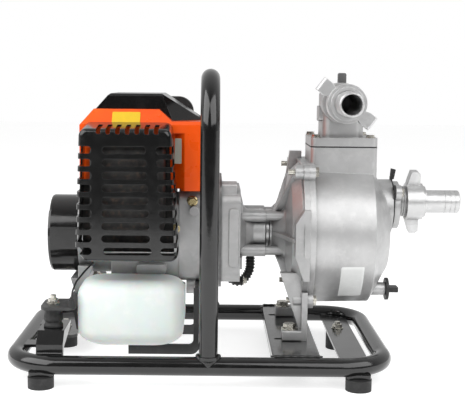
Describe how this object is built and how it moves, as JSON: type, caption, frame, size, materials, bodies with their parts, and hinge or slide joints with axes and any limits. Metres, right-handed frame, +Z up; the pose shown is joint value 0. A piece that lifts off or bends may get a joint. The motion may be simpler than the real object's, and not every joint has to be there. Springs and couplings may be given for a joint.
{
  "type": "portable fire pump",
  "caption": "Portable engine-driven centrifugal water pump on a tube frame with a hoop handle, a guarded muffler, a see-through fuel tank and hose tails on wing-nut unions.",
  "frame": {"origin": "middle of the whole pump's box, on the floor", "axes": "+X from the starter to the suction pipe, along the crankshaft; +Y away from the muffler; +Z up"},
  "size_m": [0.4806, 0.2644, 0.316],
  "materials": {
    "black_paint": "gloss",
    "rubber": "matt",
    "zinc_steel": "satin",
    "translucent_plastic": "satin",
    "matte_black_plastic": "matt",
    "cast_aluminium": "satin",
    "steel": "satin",
    "black_plastic": "gloss",
    "orange_plastic": "gloss",
    "cast_iron": "matt",
    "foam": "matt"
  },
  "bodies": {
    "frame": {"base_frame": "black_paint", "handle_hoop": "black_paint", "cross_plates": "black_paint", "rail_brackets": "black_paint", "rubber_feet": "rubber", "frame_bolts": "zinc_steel", "engine_mount_bushes": "rubber", "engine_mount_bracket": "black_paint", "tank_guard": "black_paint", "fuel_tank": "translucent_plastic", "crankcase": "cast_aluminium", "ball_bearings": "steel", "cylinder": "cast_aluminium", "starter_housing": "black_plastic", "recoil_spring": "steel", "ignition_coil": "matte_black_plastic", "spark_plug": "zinc_steel", "engine_shroud": "orange_plastic", "top_cover": "black_plastic", "muffler": "cast_iron", "muffler_guard": "black_plastic", "intake_insulator": "matte_black_plastic", "carburettor": "cast_aluminium", "air_filter_housing": "matte_black_plastic", "air_filter_cover": "matte_black_plastic", "filter_element": "foam", "stop_wire": "rubber", "clutch_back_plate": "steel", "clutch_housing": "cast_aluminium", "adapter_housing": "cast_aluminium", "wiring_conduit": "matte_black_plastic", "pump_back_cover": "cast_aluminium", "pump_casing": "cast_aluminium", "shaft_seal": "rubber", "gaskets": "rubber", "suction_flange": "cast_aluminium", "suction_tail": "cast_aluminium", "discharge_elbow": "cast_aluminium", "discharge_tail": "cast_aluminium", "machine_screws": "zinc_steel"},
    "crank": {"crankshaft": "steel", "flywheel": "cast_aluminium", "clutch_shoes": "cast_iron"},
    "pump_rotor": {"clutch_drum": "steel", "pump_shaft": "steel", "impeller": "cast_aluminium"},
    "piston_set": {"piston": "cast_aluminium", "gudgeon_pin": "steel"},
    "rod": {"connecting_rod": "steel"},
    "recoil_pulley": {"starter_pulley": "matte_black_plastic"},
    "fuel_filler_cap": {"fuel_cap": "matte_black_plastic"},
    "throttle": {"throttle_lever": "zinc_steel"},
    "choke": {"choke_lever": "matte_black_plastic"},
    "primer": {"primer_bulb": "rubber"},
    "switch_rocker": {"stop_switch": "matte_black_plastic"},
    "flap": {"flap_valve": "rubber"},
    "suction_union": {"suction_nut": "cast_aluminium"},
    "discharge_union": {"discharge_nut": "cast_aluminium"},
    "priming_plug": {"priming_cap": "cast_aluminium"},
    "drain_plug": {"drain_cap": "matte_black_plastic"}
  },
  "joints": [
    {"name": "crank_spin", "type": "hinge", "parent": "frame", "child": "crank", "pos_m": [-0.0993, 0.01275, 0.14], "axis": [1, 0, 0], "continuous": true},
    {"name": "pump_spin", "type": "hinge", "parent": "frame", "child": "pump_rotor", "pos_m": [0.0147, 0.01275, 0.14], "axis": [1, 0, 0], "continuous": true},
    {"name": "piston_stroke", "type": "slide", "parent": "frame", "child": "piston_set", "axis": [0, 0, -1], "range_m": [0, 0.034]},
    {"name": "rod_swing", "type": "hinge", "parent": "piston_set", "child": "rod", "pos_m": [-0.0993, 0.01275, 0.219], "axis": [1, 0, 0], "range_deg": [-15, 15]},
    {"name": "recoil_turn", "type": "hinge", "parent": "frame", "child": "recoil_pulley", "pos_m": [-0.1933, 0.01275, 0.14], "axis": [1, 0, 0], "range_deg": [0, 1800], "stiffness_Nm_per_rad": 0.004, "springref_deg": -179.91},
    {"name": "fuel_cap_turn", "type": "hinge", "parent": "frame", "child": "fuel_filler_cap", "pos_m": [-0.1113, 0.00075, 0.06], "axis": [0, 0.866, 0.5], "range_deg": [0, 720]},
    {"name": "throttle_turn", "type": "hinge", "parent": "frame", "child": "throttle", "pos_m": [-0.0993, 0.06675, 0.206], "axis": [-1, 0, 0], "range_deg": [0, 60], "stiffness_Nm_per_rad": 0.01, "springref_deg": -28.65},
    {"name": "choke_turn", "type": "hinge", "parent": "frame", "child": "choke", "pos_m": [-0.0993, 0.08475, 0.206], "axis": [1, 0, 0], "range_deg": [0, 60]},
    {"name": "primer_press", "type": "slide", "parent": "frame", "child": "primer", "axis": [0, 0, 1], "range_m": [0, 0.0035], "stiffness_N_per_m": 200, "springref_m": -0.002},
    {"name": "stop_rocker", "type": "hinge", "parent": "frame", "child": "switch_rocker", "pos_m": [-0.0448, 0.05775, 0.238], "axis": [-1, 0, 0], "range_deg": [0, 10]},
    {"name": "flap_swing", "type": "hinge", "parent": "frame", "child": "flap", "pos_m": [0.1635, 0.01275, 0.188], "axis": [0, 1, 0], "range_deg": [0, 40]},
    {"name": "suction_nut_turn", "type": "hinge", "parent": "frame", "child": "suction_union", "pos_m": [0.1957, 0.01275, 0.174], "axis": [1, 0, 0], "range_deg": [0, 1080]},
    {"name": "discharge_nut_turn", "type": "hinge", "parent": "frame", "child": "discharge_union", "pos_m": [0.1047, -0.07025, 0.282], "axis": [0, -1, 0], "range_deg": [0, 1080]},
    {"name": "priming_cap_turn", "type": "hinge", "parent": "frame", "child": "priming_plug", "pos_m": [0.1107, 0.02475, 0.299], "axis": [0, 0, 1], "range_deg": [0, 720]},
    {"name": "drain_cap_turn", "type": "hinge", "parent": "frame", "child": "drain_plug", "pos_m": [0.1577, -0.01525, 0.0815], "axis": [1, 0, 0], "range_deg": [0, 720]}
  ],
  "couplings": [
    {"joint": "pump_spin", "follows": "crank_spin", "ratio": 1}
  ]
}
